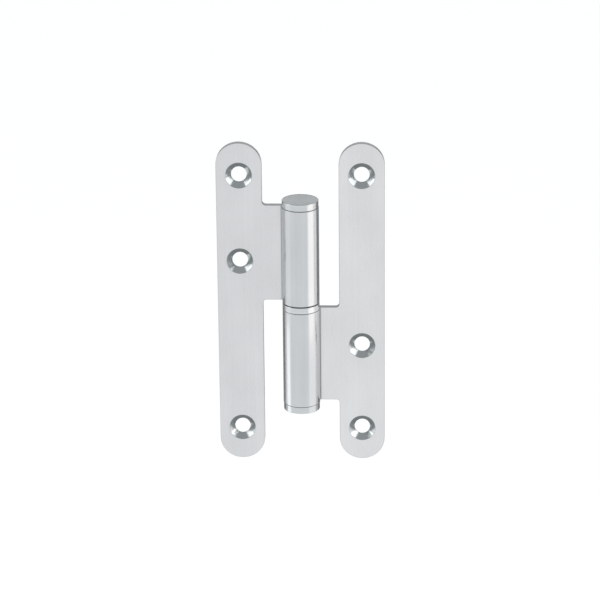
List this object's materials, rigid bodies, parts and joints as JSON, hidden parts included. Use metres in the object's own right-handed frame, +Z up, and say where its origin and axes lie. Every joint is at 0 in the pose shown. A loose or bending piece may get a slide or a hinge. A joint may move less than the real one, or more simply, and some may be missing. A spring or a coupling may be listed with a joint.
{
  "type": "lift-off door hinge",
  "caption": "Stainless lift-off door hinge: two round-ended leaves with rolled knuckles turn on a fixed pin over a small thrust ball bearing.",
  "frame": {"origin": "on the pin axis, half way up the leaves, which is the centre of the bounding box", "axes": "+Z up along the pin; -Y the way the countersunk faces and the barrel look; -X towards the door leaf, +X towards the frame leaf, both open flat"},
  "size_m": [0.0698, 0.0154, 0.14],
  "materials": {
    "leaf_steel": "satin brushed stainless steel, grain along the leaf",
    "shell_steel": "satin stainless steel, turned",
    "turned_steel": "turned stainless steel, fine rings on the end face",
    "pin_steel": "ground and greased stainless steel",
    "race_steel": "hardened and ground bearing steel",
    "ball_steel": "polished bearing balls",
    "nylon": "natural nylon, slightly waxy"
  },
  "bodies": {
    "frame": {"frame_leaf": "leaf_steel", "hinge_pin": "pin_steel", "bottom_cap": "turned_steel", "bearing_shell": "shell_steel", "lower_race": "race_steel"},
    "bearing_top": {"upper_race": "race_steel"},
    "cage": {"ball_cage": "nylon", "ball_1": "ball_steel", "ball_2": "ball_steel", "ball_3": "ball_steel", "ball_4": "ball_steel", "ball_5": "ball_steel", "ball_6": "ball_steel", "ball_7": "ball_steel", "ball_8": "ball_steel", "ball_9": "ball_steel", "ball_10": "ball_steel", "ball_11": "ball_steel", "ball_12": "ball_steel"},
    "door": {"door_leaf": "leaf_steel", "top_cap": "turned_steel", "pivot_bush": "nylon"}
  },
  "joints": [
    {"name": "swing", "type": "hinge", "parent": "frame", "child": "bearing_top", "pos_m": [0, 0, 0], "axis": [0, 0, 1], "range_deg": [0, 180]},
    {"name": "cage_turn", "type": "hinge", "parent": "frame", "child": "cage", "pos_m": [0, 0, 0], "axis": [0, 0, 1], "range_deg": [0, 90]},
    {"name": "lift_off", "type": "slide", "parent": "bearing_top", "child": "door", "axis": [0, 0, 1], "range_m": [0, 0.038]}
  ],
  "couplings": [
    {"joint": "cage_turn", "follows": "swing", "ratio": 0.5}
  ]
}
